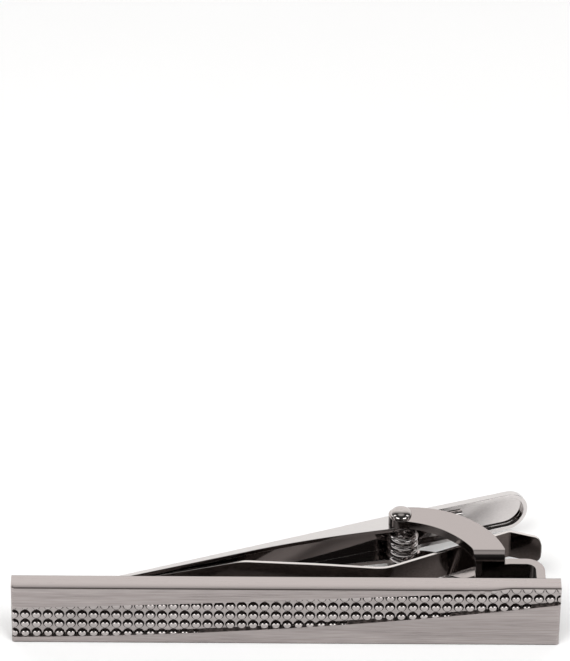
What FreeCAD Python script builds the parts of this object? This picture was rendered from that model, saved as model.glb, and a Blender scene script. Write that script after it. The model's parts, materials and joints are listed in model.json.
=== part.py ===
"""Alligator tie clip: a studded front bar, a sprung lever with a grip leaf, and the bracket that hinges it.

Frame: X runs along the bar, -Y is the front that shows on the tie, +Z is up.
The origin is the middle of the bar's lower edge face. Millimetres.
"""
import FreeCAD, Part
import math
import os

from FreeCAD import Vector

os.makedirs("parts", exist_ok=True)

# Front bar
BAR_LENGTH = 50.8
BAR_HEIGHT = 6.35
BAR_THICKNESS = 2.0
BAR_END_RADIUS = 0.35
BAR_EDGE_RADIUS = 0.12

# Studded field: heights of its two curved borders at the left end, middle and right end
FIELD_UPPER = (3.98, 5.05, 6.55)
FIELD_LOWER = (0.63, 1.80, 4.70)
FIELD_DEPTH = 0.22
STUD_PITCH = 1.055
STUD_DIAMETER = 0.92
STUD_TOP_DIAMETER = 0.58
STUD_SIDES = 8
STUD_FIRST_FROM_END = 0.35
STUD_TOP_ROW_HEIGHT = 6.475
STUD_ROWS = 7

# Hinge
PIVOT_FROM_END = 14.5
PIVOT_BEHIND_BAR = 10.0
RIVET_RADIUS = 0.42
RIVET_HEAD_RADIUS = 1.02
RIVET_HEAD_HEIGHT = 0.60
RIVET_TAIL_RADIUS = 0.80
RIVET_TAIL_HEIGHT = 0.20
RIVET_TAIL_CHAMFER = 0.12
RUNNING_CLEARANCE = 0.04
SIDE_CLEARANCE = 0.05

# Lever: a pressed channel, open towards the bar
LEVER_SHEET = 0.42
LEVER_WIDTH = 4.1
LEVER_TIP_WIDTH = 3.02
LEVER_TIP_REACH = 31.6
LEVER_SPOON_REACH = 13.3
LEVER_BACK_FROM_PIVOT = 1.51
LEVER_BEND_RADIUS = 0.30
LEVER_TIP_CORNER = 0.5
FLANGE_TIP_DEPTH = 0.50
FLANGE_WAIST_DEPTH = 0.85
FLANGE_WAIST_REACH = 15.4
FLANGE_SWELL_SHARE = 0.30
FLANGE_EAR_DEPTH = 2.36
EAR_START_SHARE = 0.94
EAR_END_SHARE = 0.72
FLANGE_RIM_DEPTH = 1.15
EAR_HALF_LENGTH = 1.15
CRIMP_LENGTH = 2.0
CRIMP_FROM_TIP = 0.5
CRIMP_SHEET = 0.28
CRIMP_OVERLAP = 0.45
CRIMP_CLEARANCE = 0.02
TIP_GAP = 0.03

# Grip leaf: a bent strip crimped in the lever's tip; bends are given along the lever and back from the pivot
LEAF_SHEET = 0.35
LEAF_WIDTH = 2.9
LEAF_TIP_WIDTH = 1.96
LEAF_FROM_LEVER_TIP = 0.6
LEAF_SEAT_LENGTH = 6.5
LEAF_SHOULDER = (-15.97, 0.14)
LEAF_BELLY = (-3.65, -5.50)
LEAF_KINK = (9.54, -3.91)
LEAF_END = (12.02, -5.90)
LEAF_SEAT_RADIUS = 8.0
LEAF_SHOULDER_RADIUS = 5.0
LEAF_BELLY_RADIUS = 3.5
LEAF_KINK_RADIUS = 0.6
LEAF_TAPER_FROM_PIVOT = 7.9
LEAF_END_ROUNDING = 0.72

# Bracket: one bent strip with a foot on the bar and two arms for the rivet
BRACKET_SHEET = 0.85
BRACKET_STRIP_HEIGHT = 3.90
BRACKET_STRIP_BEHIND_BAR = 3.70
BRACKET_LEFT_FROM_END = 7.65
BRACKET_ARM_WIDTH = 2.7
BRACKET_RISER_FLARE = 0.45
BRACKET_END_GAP = 1.25
BRACKET_FOOT_LENGTH = 5.2
BRACKET_FOOT_BEND = 0.85
BRACKET_TOP_BEND = 1.30
BRACKET_FOLD_RADIUS = 0.20
ARM_END_RADIUS = 1.18
ARM_FRONT_TURN = -70.0
ARM_BACK_TURN = 75.0
ARM_FRONT_RISE = 1.12
ARM_BACK_RISE = 2.22

# Torsion spring
SPRING_WIRE = 0.38
SPRING_WIRE_SIDES = 10
SPRING_RADIUS = 1.18
SPRING_TURNS = 3
SPRING_FROM_PIVOT = -0.34
SPRING_FLANGE_GAP = 0.035
SPRING_SEAT_GAP = 0.03
SPRING_LEVER_LEG_SHARE = 0.5
SPRING_LEG_DROP = 0.33
SPRING_LEG_BEND = 8.0

# Places worked out from the sizes above
MID_Z = BAR_HEIGHT / 2
BAR_FRONT = -BAR_THICKNESS / 2
BAR_BACK = BAR_THICKNESS / 2
BAR_END = BAR_LENGTH / 2
PIVOT = Vector(BAR_END - PIVOT_FROM_END, BAR_BACK + PIVOT_BEHIND_BAR, 0)
WEB_INNER = LEVER_BACK_FROM_PIVOT - LEVER_SHEET
LIP_BACK = WEB_INNER - LEAF_SHEET - CRIMP_CLEARANCE
LIP_FRONT = LIP_BACK - CRIMP_SHEET
LIP_REACH = LEVER_TIP_REACH - CRIMP_FROM_TIP
LIP_DROP = math.asin((PIVOT_BEHIND_BAR - TIP_GAP) / math.hypot(LIP_REACH, LIP_FRONT))
LEVER_ANGLE = math.degrees(LIP_DROP + math.atan2(LIP_FRONT, LIP_REACH))
ARM_INNER = LEVER_WIDTH / 2 + SIDE_CLEARANCE
ARM_OUTER = ARM_INNER + BRACKET_SHEET
BRACKET_LEFT_X = BAR_END - BRACKET_LEFT_FROM_END
BRACKET_ARM_RIGHT_X = BRACKET_LEFT_X + BRACKET_ARM_WIDTH
STRIP_FRONT = BAR_BACK + BRACKET_STRIP_BEHIND_BAR
STRIP_BACK = STRIP_FRONT + BRACKET_SHEET
THROUGH_HEIGHT = 4 * ARM_OUTER
THROUGH_FOOT = MID_Z - THROUGH_HEIGHT / 2
ARC_INSET = 1 - math.sqrt(0.5)
UP = Vector(0, 0, 1)


def save(shape, node):
    """Write one node and report its volume."""
    solid = shape.removeSplitter()
    if not solid.isValid():
        raise ValueError(node + " is not valid")
    solid.exportStep("parts/" + node + ".step")
    print(node, "solids", len(solid.Solids), "volume", round(solid.Volume, 3))


def prism(edges, direction):
    """Solid swept from a closed outline of edges."""
    return plan_face(edges).extrude(direction)


def line(start, end):
    """Straight edge."""
    return Part.LineSegment(start, end).toShape()


def arc(start, middle, end):
    """Circular edge through three points."""
    return Part.Arc(start, middle, end).toShape()


def polygon(points):
    """Closed run of straight edges."""
    return [line(points[i - 1], points[i]) for i in range(len(points))]


def bowed(start, end, rise):
    """Level arc between two points, bowed to the left of the way from start to end."""
    across = UP.cross(end - start).normalize()
    return arc(start, (start + end) * 0.5 + across * rise, end)


def through(face):
    """Solid of a level plan face, taller than the whole hinge."""
    face.translate(Vector(0, 0, THROUGH_FOOT))
    return face.extrude(Vector(0, 0, THROUGH_HEIGHT))


def plan_face(edges):
    """Face inside a closed outline of edges."""
    return Part.Face(Part.Wire(Part.__sortEdges__(edges)))


def from_lever(along, back):
    """Plan point in the lever's own axes: along it towards the spoon, and back from the pivot."""
    turn = math.radians(LEVER_ANGLE)
    x = along * math.cos(turn) - back * math.sin(turn)
    y = along * math.sin(turn) + back * math.cos(turn)
    return PIVOT + Vector(x, y, 0)


def place_on_pivot(shape):
    """Carry a solid from the lever's own axes to its place in the clip."""
    shape.rotate(Vector(0, 0, 0), UP, LEVER_ANGLE)
    shape.translate(PIVOT)
    return shape


def bent_strip(points, radii, sheet):
    """Plan face of a strip that follows the points, with a mid-line radius at each inner corner."""
    left = []
    right = []
    half = sheet / 2
    first = (points[1] - points[0]).normalize()
    last = (points[-1] - points[-2]).normalize()
    left_end = points[0] + UP.cross(first) * half
    right_end = points[0] - UP.cross(first) * half
    start_cap = line(left_end, right_end)
    for corner, radius in zip(range(1, len(points) - 1), radii):
        come = (points[corner] - points[corner - 1]).normalize()
        leave = (points[corner + 1] - points[corner]).normalize()
        swing = come.getAngle(leave)
        side = 1 if come.cross(leave).z > 0 else -1
        reach = radius * math.tan(swing / 2)
        touch_in = points[corner] - come * reach
        touch_out = points[corner] + leave * reach
        centre = touch_in + UP.cross(come) * (side * radius)
        outward = (points[corner] - centre).normalize()
        for edges, hand in ((left, 1), (right, -1)):
            shift = hand * half
            here = left_end if hand > 0 else right_end
            arc_start = touch_in + UP.cross(come) * shift
            arc_end = touch_out + UP.cross(leave) * shift
            arc_middle = centre + outward * (radius - side * shift)
            edges.append(line(here, arc_start))
            edges.append(arc(arc_start, arc_middle, arc_end))
            if hand > 0:
                left_end = arc_end
            else:
                right_end = arc_end
    finish_left = points[-1] + UP.cross(last) * half
    finish_right = points[-1] - UP.cross(last) * half
    left.append(line(left_end, finish_left))
    right.append(line(right_end, finish_right))
    return plan_face(left + right + [start_cap, line(finish_left, finish_right)])


def on_front(x, z):
    """Point on the bar's front face."""
    return Vector(x, BAR_FRONT, z)


def ring(centre, across, up, radius, sides):
    """Many-sided closed wire about a centre, in the plane of two unit directions."""
    turns = [2 * math.pi * side / sides for side in range(sides)]
    corners = [centre + (across * math.cos(turn) + up * math.sin(turn)) * radius for turn in turns]
    return Part.Wire(polygon(corners))


def stud(centre):
    """One tapered stud, from the floor of the field up to the bar's front."""
    along = Vector(1, 0, 0)
    floor = ring(centre + Vector(0, FIELD_DEPTH, 0), along, UP, STUD_DIAMETER / 2, STUD_SIDES)
    top = ring(centre, along, UP, STUD_TOP_DIAMETER / 2, STUD_SIDES)
    return Part.makeLoft([floor, top], True, True)


def studded_field():
    """Sunk lattice of the front face: the space between the studs, as a cutting solid."""
    stations = (-BAR_END, 0, BAR_END)
    lower = [on_front(x, z) for x, z in zip(stations, FIELD_LOWER)]
    upper = [on_front(x, z) for x, z in zip(stations, FIELD_UPPER)]
    field = plan_face([arc(*lower), arc(*upper), line(lower[0], upper[0]), line(lower[2], upper[2])])
    studs = []
    for row in range(STUD_ROWS):
        for column in range(int(BAR_LENGTH / STUD_PITCH) + 1):
            x = STUD_FIRST_FROM_END - BAR_END + column * STUD_PITCH
            centre = on_front(x, STUD_TOP_ROW_HEIGHT - row * STUD_PITCH)
            if Part.Vertex(centre).distToShape(field)[0] < STUD_DIAMETER / 2:
                studs.append(stud(centre))
    return field.extrude(Vector(0, FIELD_DEPTH, 0)).cut(studs)


def front_bar():
    """Bar with eased edges and the studded field sunk in its front."""
    bar = Part.makeBox(BAR_LENGTH, BAR_THICKNESS, BAR_HEIGHT, Vector(-BAR_END, BAR_FRONT, 0))
    upright = [e for e in bar.Edges if e.BoundBox.ZLength > BAR_HEIGHT / 2]
    bar = bar.makeFillet(BAR_END_RADIUS, upright)
    level = [e for e in bar.Edges if e.BoundBox.ZLength < BAR_EDGE_RADIUS]
    bar = bar.makeFillet(BAR_EDGE_RADIUS, level)
    return bar.cut(studded_field())


def round_end(degrees):
    """Point on an arm's round end about the pivot."""
    turn = math.radians(degrees)
    return PIVOT + Vector(ARM_END_RADIUS * math.cos(turn), ARM_END_RADIUS * math.sin(turn), 0)


def arm_outline():
    """Plan edges of a bracket arm, from its fold over the strip to the round end on the rivet."""
    fold_left = Vector(BRACKET_LEFT_X, STRIP_FRONT, 0)
    fold_right = Vector(BRACKET_ARM_RIGHT_X, STRIP_FRONT, 0)
    front_touch = round_end(ARM_FRONT_TURN)
    back_touch = round_end(ARM_BACK_TURN)
    return [line(fold_left, fold_right),
            bowed(back_touch, fold_right, ARM_BACK_RISE),
            arc(back_touch, PIVOT - Vector(ARM_END_RADIUS, 0, 0), front_touch),
            bowed(front_touch, fold_left, ARM_FRONT_RISE)]


def fold_section():
    """Upright section of the folded strip: a back plate with an arm turned from each edge."""
    inner = BRACKET_FOLD_RADIUS
    outer = inner + BRACKET_SHEET
    far = PIVOT.y + 2 * ARM_END_RADIUS

    def at(y, height):
        return Vector(PIVOT.x - 2 * ARM_END_RADIUS, y, MID_Z + height)

    edges = [line(at(STRIP_FRONT, outer - ARM_OUTER), at(STRIP_FRONT, ARM_OUTER - outer)),
             line(at(STRIP_BACK, inner - ARM_INNER), at(STRIP_BACK, ARM_INNER - inner))]
    for side in (1, -1):
        edges += [arc(at(STRIP_FRONT, side * (ARM_OUTER - outer)),
                      at(STRIP_FRONT + ARC_INSET * outer, side * (ARM_OUTER - ARC_INSET * outer)),
                      at(STRIP_FRONT + outer, side * ARM_OUTER)),
                  line(at(STRIP_FRONT + outer, side * ARM_OUTER), at(far, side * ARM_OUTER)),
                  line(at(far, side * ARM_OUTER), at(far, side * ARM_INNER)),
                  line(at(far, side * ARM_INNER), at(STRIP_BACK + inner, side * ARM_INNER)),
                  arc(at(STRIP_BACK + inner, side * ARM_INNER),
                      at(STRIP_BACK + ARC_INSET * inner, side * (ARM_INNER - ARC_INSET * inner)),
                      at(STRIP_BACK, side * (ARM_INNER - inner)))]
    return edges


def riser_outline():
    """Front view of the plate between the two folds, flared where it runs into the strip."""
    fold_start = ARM_INNER - BRACKET_FOLD_RADIUS
    shoulder = BRACKET_STRIP_HEIGHT / 2
    flare_x = BRACKET_ARM_RIGHT_X + BRACKET_RISER_FLARE
    corners = [(BRACKET_LEFT_X, -fold_start),
               (BRACKET_ARM_RIGHT_X, -fold_start),
               (flare_x, -shoulder),
               (flare_x, shoulder),
               (BRACKET_ARM_RIGHT_X, fold_start),
               (BRACKET_LEFT_X, fold_start)]
    return polygon([Vector(x, STRIP_FRONT, MID_Z + height) for x, height in corners])


def bracket():
    """Soldered foot, bend, upright strip and the two arms folded from the strip's upper and lower edges."""
    half = BRACKET_SHEET / 2
    leg_x = BAR_END - BRACKET_END_GAP - half
    route = [Vector(leg_x - BRACKET_FOOT_LENGTH, BAR_BACK + half, 0),
             Vector(leg_x, BAR_BACK + half, 0),
             Vector(leg_x, STRIP_FRONT + half, 0),
             Vector(BRACKET_LEFT_X, STRIP_FRONT + half, 0)]
    band = bent_strip(route, (BRACKET_FOOT_BEND, BRACKET_TOP_BEND), BRACKET_SHEET)
    band.translate(Vector(0, 0, MID_Z - BRACKET_STRIP_HEIGHT / 2))
    strip = band.extrude(Vector(0, 0, BRACKET_STRIP_HEIGHT))
    riser = prism(riser_outline(), Vector(0, BRACKET_SHEET, 0))
    folded = prism(fold_section(), Vector(BAR_LENGTH, 0, 0))
    arms = folded.common(through(plan_face(arm_outline())))
    bore = Part.makeCylinder(RIVET_RADIUS, THROUGH_HEIGHT, PIVOT + UP * THROUGH_FOOT)
    return strip.fuse([riser, arms]).removeSplitter().cut(bore)


def hinge_rivet():
    """Rivet with a domed head above the upper arm and a flat peened tail under the lower one."""
    foot = MID_Z - ARM_OUTER
    top = MID_Z + ARM_OUTER
    end = foot - RIVET_TAIL_HEIGHT
    ball = (RIVET_HEAD_RADIUS ** 2 + RIVET_HEAD_HEIGHT ** 2) / (2 * RIVET_HEAD_HEIGHT)
    ball_centre = top + RIVET_HEAD_HEIGHT - ball
    half_swing = math.atan2(RIVET_HEAD_RADIUS, top - ball_centre) / 2
    dome_middle = Vector(ball * math.sin(half_swing), 0, ball_centre + ball * math.cos(half_swing))
    corners = [(0, top + RIVET_HEAD_HEIGHT),
               (0, end),
               (RIVET_TAIL_RADIUS - RIVET_TAIL_CHAMFER, end),
               (RIVET_TAIL_RADIUS, end + RIVET_TAIL_CHAMFER),
               (RIVET_TAIL_RADIUS, foot),
               (RIVET_RADIUS, foot),
               (RIVET_RADIUS, top),
               (RIVET_HEAD_RADIUS, top)]
    points = [Vector(x, 0, z) for x, z in corners]
    profile = [line(a, b) for a, b in zip(points, points[1:])]
    profile.append(arc(points[-1], dome_middle, points[0]))
    rivet = plan_face(profile).revolve(Vector(0, 0, 0), UP, 360)
    rivet.translate(PIVOT)
    return rivet


def lever_outline(inset):
    """Edges of the lever's back, seen square on, drawn in by an inset all round."""
    tip = -LEVER_TIP_REACH + inset
    tip_half = LEVER_TIP_WIDTH / 2 - inset
    half = LEVER_WIDTH / 2 - inset
    corner = LEVER_TIP_CORNER - inset / 2
    spoon = LEVER_SPOON_REACH - inset
    round_start = spoon - half
    bulge = math.sqrt(0.5) * half
    cut = corner * ARC_INSET

    def at(along, height):
        return Vector(along, 0, MID_Z + height)

    return [line(at(tip, -tip_half + corner), at(tip, tip_half - corner)),
            arc(at(tip, tip_half - corner), at(tip + cut, tip_half - cut), at(tip + corner, tip_half)),
            line(at(tip + corner, tip_half), at(0, half)),
            line(at(0, half), at(round_start, half)),
            arc(at(round_start, half), at(spoon, 0), at(round_start, -half)),
            line(at(round_start, -half), at(0, -half)),
            line(at(0, -half), at(tip + corner, -tip_half)),
            arc(at(tip + corner, -tip_half), at(tip + cut, -tip_half + cut), at(tip, -tip_half + corner))]


def flange_side():
    """Side view of the lever: the flanges deepen towards the pivot ears and drop to the spoon's rim."""
    back = LEVER_BACK_FROM_PIVOT

    def at(along, depth):
        return Vector(along, back - depth, 0)

    tip = at(-LEVER_TIP_REACH, FLANGE_TIP_DEPTH)
    waist = at(-FLANGE_WAIST_REACH, FLANGE_WAIST_DEPTH)
    swell_depth = FLANGE_WAIST_DEPTH + FLANGE_SWELL_SHARE * (FLANGE_EAR_DEPTH - FLANGE_WAIST_DEPTH)
    swell = at(-FLANGE_WAIST_REACH / 2, swell_depth)
    ear_start = at(-EAR_HALF_LENGTH, FLANGE_EAR_DEPTH * EAR_START_SHARE)
    ear_front = at(0, FLANGE_EAR_DEPTH)
    ear_end = at(EAR_HALF_LENGTH, FLANGE_EAR_DEPTH * EAR_END_SHARE)
    rim_start = at(2 * EAR_HALF_LENGTH, FLANGE_RIM_DEPTH)
    rim_end = at(LEVER_SPOON_REACH, FLANGE_RIM_DEPTH)
    return [line(at(-LEVER_TIP_REACH, 0), tip),
            line(tip, waist),
            arc(waist, swell, ear_start),
            arc(ear_start, ear_front, ear_end),
            line(ear_end, rim_start),
            line(rim_start, rim_end),
            line(rim_end, at(LEVER_SPOON_REACH, 0)),
            line(at(LEVER_SPOON_REACH, 0), at(-LEVER_TIP_REACH, 0))]


def crimp(side):
    """Lip folded over the leaf's front at the tip, from the upper (1) or lower (-1) flange."""
    slope = (LEVER_WIDTH - LEVER_TIP_WIDTH) / 2 / LEVER_TIP_REACH
    outer = LEVER_TIP_WIDTH / 2 + slope * CRIMP_FROM_TIP
    inner = outer - LEVER_SHEET
    corners = [(WEB_INNER, outer),
               (LIP_FRONT, outer),
               (LIP_FRONT, inner - CRIMP_OVERLAP),
               (LIP_BACK, inner - CRIMP_OVERLAP),
               (LIP_BACK, inner),
               (WEB_INNER, inner)]
    section = polygon([Vector(-LIP_REACH, back, MID_Z + side * height) for back, height in corners])
    return prism(section, Vector(CRIMP_LENGTH, 0, 0))


def lever():
    """Pressed channel with pivot ears, a rounded spoon for the thumb and two crimped lips at the tip."""
    depth = FLANGE_EAR_DEPTH + LEVER_SHEET
    shell = prism(lever_outline(0), Vector(0, -depth, 0))
    shell.translate(Vector(0, LEVER_BACK_FROM_PIVOT, 0))
    back_edges = [e for e in shell.Edges if e.BoundBox.YMin > WEB_INNER]
    shell = shell.makeFillet(LEVER_BEND_RADIUS, back_edges)
    hollow = prism(lever_outline(LEVER_SHEET), Vector(0, -depth, 0))
    hollow.translate(Vector(0, WEB_INNER, 0))
    channel = shell.cut(hollow).common(through(plan_face(flange_side())))
    body = channel.fuse([crimp(1), crimp(-1)])
    bore = Part.makeCylinder(RIVET_RADIUS + RUNNING_CLEARANCE, THROUGH_HEIGHT, UP * THROUGH_FOOT)
    return place_on_pivot(body.cut(bore))


def grip_leaf():
    """Strip that leaves the lever's tip, bellies towards the bar past the spring and ends in a round tab."""
    seat = WEB_INNER - LEAF_SHEET / 2
    tip_along = -LEVER_TIP_REACH + LEAF_FROM_LEVER_TIP
    route = [from_lever(tip_along, seat),
             from_lever(tip_along + LEAF_SEAT_LENGTH, seat),
             from_lever(*LEAF_SHOULDER),
             from_lever(*LEAF_BELLY),
             from_lever(*LEAF_KINK),
             from_lever(*LEAF_END)]
    radii = (LEAF_SEAT_RADIUS, LEAF_SHOULDER_RADIUS, LEAF_BELLY_RADIUS, LEAF_KINK_RADIUS)
    sheet = through(bent_strip(route, radii, LEAF_SHEET))
    start_x = route[0].x - LEAF_SHEET
    full_x = PIVOT.x - LEAF_TAPER_FROM_PIVOT
    end_x = route[-1].x
    round_x = end_x - LEAF_END_ROUNDING
    half = LEAF_WIDTH / 2
    tip_half = LEAF_TIP_WIDTH / 2

    def at(x, height):
        return Vector(x, 0, MID_Z + height)

    face = [line(at(start_x, -tip_half), at(start_x, tip_half)),
            line(at(start_x, tip_half), at(full_x, half)),
            line(at(full_x, half), at(round_x, half)),
            arc(at(round_x, half), at(end_x, 0), at(round_x, -half)),
            line(at(round_x, -half), at(full_x, -half)),
            line(at(full_x, -half), at(start_x, -tip_half))]
    return sheet.common(prism(face, Vector(0, PIVOT.y + LEVER_SPOON_REACH, 0)))


def turn_edges(start, start_way, end, end_way):
    """Two arcs that join two points on the wire with the given directions."""
    span = end - start
    both = start_way + end_way
    bend = 2 * (1 - start_way.dot(end_way))
    reach = (-span.dot(both) + math.sqrt(span.dot(both) ** 2 + bend * span.dot(span))) / bend
    first = start + start_way * reach
    second = end - end_way * reach
    middle = (first + second) * 0.5
    edges = []
    for begin, apex, finish in ((start, first, middle), (middle, second, end)):
        chord = (begin + finish) * 0.5
        half = (finish - begin).Length / 2
        height = (apex - chord).Length
        swing = math.atan2(height, half)
        top = chord + (apex - chord) * (half * math.tan(swing / 2) / height)
        edges.append(arc(begin, top, finish))
    return edges


def spring_route():
    """Edges of the wire: leg along the lever's back, turns round the rivet, leg to the bracket's strip."""
    web_seat = WEB_INNER - SPRING_SEAT_GAP - SPRING_WIRE / 2
    centre = from_lever(SPRING_FROM_PIVOT, web_seat - SPRING_RADIUS)
    strip_seat = STRIP_BACK + SPRING_SEAT_GAP + SPRING_WIRE / 2
    target = Vector(BRACKET_LEFT_X + BRACKET_ARM_WIDTH / 2, strip_seat, 0)
    aim = math.atan2(target.y - centre.y, target.x - centre.x)
    leave = aim - math.acos(SPRING_RADIUS / (target - centre).Length)
    first_turn = math.radians(90 + LEVER_ANGLE)
    swept = leave - first_turn + 2 * math.pi * (SPRING_TURNS + 1)
    top = MID_Z + LEVER_WIDTH / 2 - LEVER_SHEET - SPRING_FLANGE_GAP - SPRING_WIRE / 2
    leg_height = MID_Z - (ARM_INNER + LEAF_WIDTH / 2) / 2
    fall = (top - leg_height - SPRING_LEG_DROP) / swept
    slope = math.atan2(fall, SPRING_RADIUS)

    def on_turn(turned):
        turn = first_turn + turned
        out = Vector(math.cos(turn), math.sin(turn), 0)
        way = UP.cross(out) * math.cos(slope) - UP * math.sin(slope)
        return centre + out * SPRING_RADIUS + UP * (top - fall * turned), way

    quarters = math.ceil(swept / (math.pi / 2))
    stations = [on_turn(swept * quarter / quarters) for quarter in range(quarters + 1)]
    coil_start, start_way = stations[0]
    start_level = Vector(start_way.x, start_way.y, 0).normalize()
    stations[0] = (coil_start, start_level)
    edges = [line(coil_start - start_level * (LEVER_SPOON_REACH * SPRING_LEVER_LEG_SHARE), coil_start)]
    for here, there in zip(stations, stations[1:]):
        edges += turn_edges(*here, *there)
    coil_end, end_way = stations[-1]
    end_level = Vector(end_way.x, end_way.y, 0).normalize()
    bend_drop = SPRING_LEG_BEND * (1 - math.cos(slope))
    bend_start = coil_end + end_way * ((SPRING_LEG_DROP - bend_drop) / math.sin(slope))
    bend_end = bend_start + (end_way + end_level) * (SPRING_LEG_BEND * math.tan(slope / 2))
    leg_end = Vector(target.x, target.y, leg_height)
    edges.append(line(coil_end, bend_start))
    edges += turn_edges(bend_start, end_way, bend_end, end_level)
    edges.append(line(bend_end, leg_end))
    return edges


def least_gap(edges):
    """Least clear distance between stretches of the wire that are not neighbours along it."""
    spacing = SPRING_WIRE / 4
    points = []
    for edge in edges:
        points += edge.discretize(Number=max(2, round(edge.Length / spacing)))[:-1]
    skip = round(math.pi * SPRING_RADIUS / spacing)
    pairs = ((near, far) for i, near in enumerate(points) for far in points[i + skip:])
    return min((far - near).Length for near, far in pairs) - SPRING_WIRE


def torsion_spring():
    """Wire swept along its route as one unbroken tube."""
    edges = spring_route()
    path = Part.Wire(edges)
    begin = edges[0].valueAt(edges[0].FirstParameter)
    across = UP.cross(edges[0].tangentAt(edges[0].FirstParameter))
    section = ring(begin, across, UP, SPRING_WIRE / 2, SPRING_WIRE_SIDES)
    tube = Part.BRepOffsetAPI.MakePipeShell(path)
    tube.add(section, False, False)
    tube.build()
    tube.makeSolid()
    print("spring least gap", round(least_gap(edges), 3))
    return tube.shape()


save(front_bar(), "front_bar")
save(bracket(), "bracket")
save(hinge_rivet(), "hinge_rivet")
save(lever(), "lever")
save(grip_leaf(), "grip_leaf")
save(torsion_spring(), "torsion_spring")
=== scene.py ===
import json
import math

import bmesh
import bpy
from mathutils import Matrix, Vector


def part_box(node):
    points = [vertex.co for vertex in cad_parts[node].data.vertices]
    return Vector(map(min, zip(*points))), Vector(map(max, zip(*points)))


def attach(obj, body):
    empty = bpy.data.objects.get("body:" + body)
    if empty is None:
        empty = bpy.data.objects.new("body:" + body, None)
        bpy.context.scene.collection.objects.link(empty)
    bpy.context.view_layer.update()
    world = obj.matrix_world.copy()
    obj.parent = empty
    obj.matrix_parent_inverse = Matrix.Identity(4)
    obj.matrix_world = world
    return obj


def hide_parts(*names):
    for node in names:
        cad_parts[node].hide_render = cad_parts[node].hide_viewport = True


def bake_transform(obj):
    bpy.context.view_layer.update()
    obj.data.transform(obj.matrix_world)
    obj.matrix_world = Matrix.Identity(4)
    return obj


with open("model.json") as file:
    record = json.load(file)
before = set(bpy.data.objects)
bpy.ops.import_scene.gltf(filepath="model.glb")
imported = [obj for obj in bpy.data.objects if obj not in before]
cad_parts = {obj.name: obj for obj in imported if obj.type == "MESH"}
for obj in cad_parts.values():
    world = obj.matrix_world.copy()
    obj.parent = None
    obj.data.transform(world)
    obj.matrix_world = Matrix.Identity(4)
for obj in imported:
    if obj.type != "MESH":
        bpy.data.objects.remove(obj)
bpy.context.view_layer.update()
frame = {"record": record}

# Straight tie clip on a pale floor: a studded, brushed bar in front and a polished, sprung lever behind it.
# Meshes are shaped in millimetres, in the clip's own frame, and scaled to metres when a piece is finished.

MM = 0.001
WELD = 0.0004
UP = Vector((0, 0, 1))
QUARTER_TURN = math.radians(90)
FULL_TURN = math.radians(360)

# Shading: angles in degrees from which an edge stays sharp, and steps of an eased edge
SHARP = 40
SHEET_SHARP = 50
ROUND_SHARP = 60
EASE_STEPS = 3

# Places read from the frame
BAR_LOW, BAR_HIGH = [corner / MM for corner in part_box("front_bar")]
BAR_HALF = BAR_HIGH.x
BAR_HEIGHT = BAR_HIGH.z
BAR_FRONT = BAR_LOW.y
BAR_BACK = BAR_HIGH.y
MID_Z = BAR_HEIGHT / 2
PIVOT = Vector(frame["record"]["behaviour"]["joints"][0]["pos_m"]) / MM
PIVOT.z = 0

# Bar
BAR_COLUMNS = 132
END_COLUMNS = 6
BAR_END_RADIUS = 0.35
BAR_EDGE_RADIUS = 0.12
BAR_EDGE_MIDDLE = BAR_EDGE_RADIUS * (1 - math.sqrt(0.5))
SUPPORT = 0.04

# Sunk field, with the heights of its borders at the bar's left end, middle and right end
FIELD_UPPER = (3.98, 5.05, 6.55)
FIELD_LOWER = (0.63, 1.80, 4.70)
FIELD_DEPTH = 0.32
FIELD_FLOOR = BAR_FRONT + FIELD_DEPTH
FIELD_SLOPE = 0.09

# Studs, with a profile in shares of their radius and of the field's depth
STUD_PITCH = 1.055
STUD_RADIUS = 0.49
STUD_SIDES = 12
STUD_ROWS = 7
STUD_FIRST_FROM_END = 0.21
STUD_TOP_ROW = 6.255
STUD_REACH = 0.25  # how far outside the field a centre may lie
STUD_PROFILE = ((0, 0), (0.35, 0.03), (0.60, 0.14), (0.77, 0.34), (0.89, 0.64), (1, 1))
STUD_SHADE_FROM = 0.77  # share of the radius from which the rim takes painted shade
STUD_SHADE_TILT = -0.30  # rim faces that look further down than this stay bright; the others take painted shade

# Lever, in its own axes: along it towards the spoon, and back from the pivot
LEVER_ANGLE = math.radians(19.507)
LEVER_SHEET = 0.42
LEVER_WIDTH = 4.1
LEVER_TIP_WIDTH = 3.02
LEVER_TIP_REACH = 31.6
LEVER_SPOON_REACH = 13.3
LEVER_BACK = 1.51
LEVER_BEND = 0.30
LEVER_TIP_CORNER = 0.5
LEVER_STATION = 0.6
SPOON_STEPS = 12
TIP_CORNER_STEPS = 6
LEVER_BEND_STEPS = 4
LEVER_EASE = 0.05
WEB_INNER = LEVER_BACK - LEVER_SHEET
FLANGE_TIP = 0.50
FLANGE_WAIST = 0.85
FLANGE_WAIST_REACH = 15.4
FLANGE_SWEEP = 1.7
FLANGE_EAR = 2.36
FLANGE_EAR_START = 2.22
FLANGE_EAR_END = 1.70
FLANGE_RIM = 0.85
EAR_HALF = 1.15
EAR_FALL = 1.495
LIP_LENGTH = 2.0
LIP_FROM_TIP = 0.5
LIP_SHEET = 0.28
LIP_OVERLAP = 0.45
LIP_GAP = 0.02
LIP_STEPS = 4

# Grip leaf, with its bends in the lever's axes
LEAF_SHEET = 0.35
LEAF_WIDTH = 2.9
LEAF_TIP_WIDTH = 1.96
LEAF_FROM_TIP = 0.6
LEAF_SEAT_LENGTH = 6.5
LEAF_SHOULDER = (-15.97, 0.14)
LEAF_BELLY = (-3.65, -5.50)
LEAF_KINK = (9.54, -3.91)
LEAF_END = (12.02, -5.90)
LEAF_RADII = (8.0, 5.0, 3.5, 0.6)
LEAF_TAPER_FROM_PIVOT = 7.9
LEAF_END_ROUNDING = 0.72
LEAF_END_LEAST = 0.02
LEAF_EASE = 0.06
LEAF_STEPS = 8
LEAF_TAB_STEPS = 16

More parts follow.
